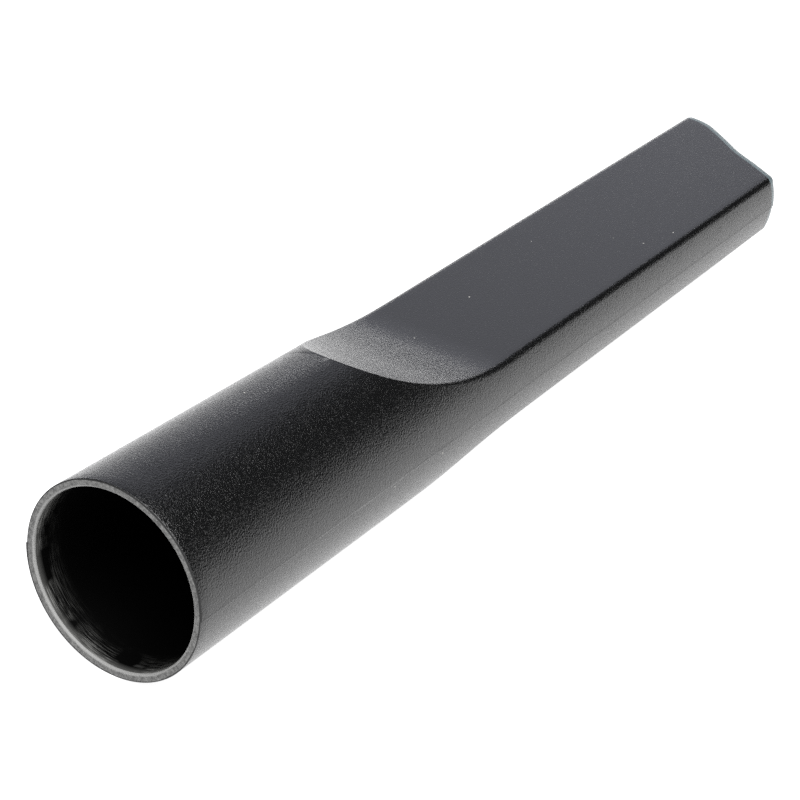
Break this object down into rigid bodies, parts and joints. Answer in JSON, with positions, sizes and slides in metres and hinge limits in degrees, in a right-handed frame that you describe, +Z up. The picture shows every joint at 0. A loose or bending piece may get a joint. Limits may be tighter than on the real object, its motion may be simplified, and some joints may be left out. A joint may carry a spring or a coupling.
{
  "type": "vacuum cleaner crevice nozzle",
  "caption": "Hollow plastic crevice nozzle: a round tapered socket scooped down on both sides into a long flat duct with a slanted open tip.",
  "frame": {"origin": "On the surface the tool is set down on, under the middle of its box: midway between mouth and tip, below the axis by the mouth's outside radius.", "axes": "+X runs along the socket's axis from the round mouth to the slanted tip, +Z is up, square to the upper flat, and +Y points to the side on which the tip is longer."},
  "size_m": [0.2194, 0.035, 0.035],
  "materials": {
    "charcoal_plastic": "charcoal moulded plastic with a fine spark-eroded grain outside, smooth and darker inside"
  },
  "bodies": {
    "root": {"crevice_nozzle": "charcoal_plastic"}
  },
  "joints": []
}
